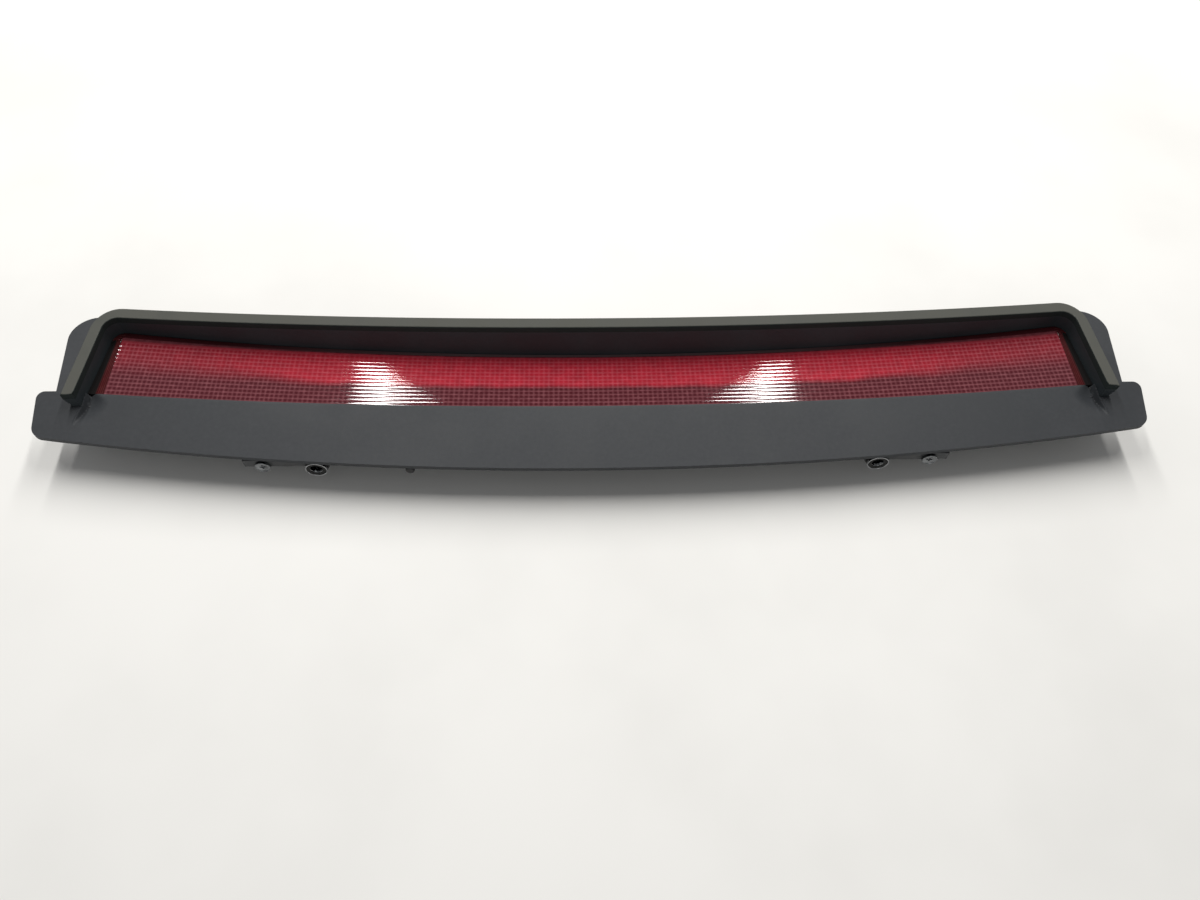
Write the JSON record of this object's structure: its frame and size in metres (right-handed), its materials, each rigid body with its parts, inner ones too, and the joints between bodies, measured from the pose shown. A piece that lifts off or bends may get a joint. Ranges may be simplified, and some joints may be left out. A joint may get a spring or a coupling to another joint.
{
  "type": "third brake light",
  "caption": "Long bowed interior high-mount stop lamp: recessed red lens in a U-shaped light shield with a sloping trim apron and twist-out bulb holders.",
  "frame": {"origin": "centre of the bounding box at the plane of the housing's feet, on which the lamp lies on its back", "axes": "+X along the lamp, +Y from the apron to the deep wall of the light shield, +Z out of the lens towards the rear glass"},
  "size_m": [0.5928, 0.0993, 0.0512],
  "materials": {
    "cover_plastic": "fine grained matt blue-grey",
    "shield_plastic": "matt near-black",
    "seal_foam": "matt olive-grey closed-cell foam",
    "lens_red": "clear red acrylic with moulded square optics",
    "reflector_metallised": "vacuum metallised",
    "housing_plastic": "moulded dark grey",
    "black_plastic": "moulded black",
    "bulb_glass": "clear glass",
    "contact_brass": "stamped spring brass",
    "tinned_strip": "tinned strip",
    "bracket_plastic": "moulded mid grey",
    "zinc_screw": "zinc plated",
    "grommet_rubber": "black rubber",
    "steel_sleeve": "bright plated steel"
  },
  "bodies": {
    "lamp": {"cover": "cover_plastic", "light_shield": "shield_plastic", "glass_seal": "seal_foam", "lens": "lens_red", "reflector": "reflector_metallised", "housing": "housing_plastic", "busbar_live": "tinned_strip", "busbar_earth": "tinned_strip", "connector_socket": "black_plastic", "connector_pins": "contact_brass", "bracket_left": "bracket_plastic", "bracket_right": "bracket_plastic", "bracket_screws": "zinc_screw", "mount_grommets": "grommet_rubber", "mount_sleeves": "steel_sleeve", "cover_screws": "zinc_screw", "reflector_screws": "zinc_screw", "wire_clip": "black_plastic"},
    "holder_1": {"bulb_holder_1": "black_plastic", "bulb_1": "bulb_glass", "bulb_contacts_1": "contact_brass"},
    "holder_2": {"bulb_holder_2": "black_plastic", "bulb_2": "bulb_glass", "bulb_contacts_2": "contact_brass"},
    "holder_3": {"bulb_holder_3": "black_plastic", "bulb_3": "bulb_glass", "bulb_contacts_3": "contact_brass"},
    "holder_4": {"bulb_holder_4": "black_plastic", "bulb_4": "bulb_glass", "bulb_contacts_4": "contact_brass"},
    "holder_5": {"bulb_holder_5": "black_plastic", "bulb_5": "bulb_glass", "bulb_contacts_5": "contact_brass"}
  },
  "joints": [
    {"name": "holder_turn_1", "type": "hinge", "parent": "lamp", "child": "holder_1", "pos_m": [-0.132, 0.00473, 0.01], "axis": [0, 0, 1], "range_deg": [0, 40]},
    {"name": "holder_turn_2", "type": "hinge", "parent": "lamp", "child": "holder_2", "pos_m": [-0.066, 0.00231, 0.01], "axis": [0, 0, 1], "range_deg": [0, 40]},
    {"name": "holder_turn_3", "type": "hinge", "parent": "lamp", "child": "holder_3", "pos_m": [0, 0.0015, 0.01], "axis": [0, 0, 1], "range_deg": [0, 40]},
    {"name": "holder_turn_4", "type": "hinge", "parent": "lamp", "child": "holder_4", "pos_m": [0.066, 0.00231, 0.01], "axis": [0, 0, 1], "range_deg": [0, 40]},
    {"name": "holder_turn_5", "type": "hinge", "parent": "lamp", "child": "holder_5", "pos_m": [0.132, 0.00473, 0.01], "axis": [0, 0, 1], "range_deg": [0, 40]}
  ]
}
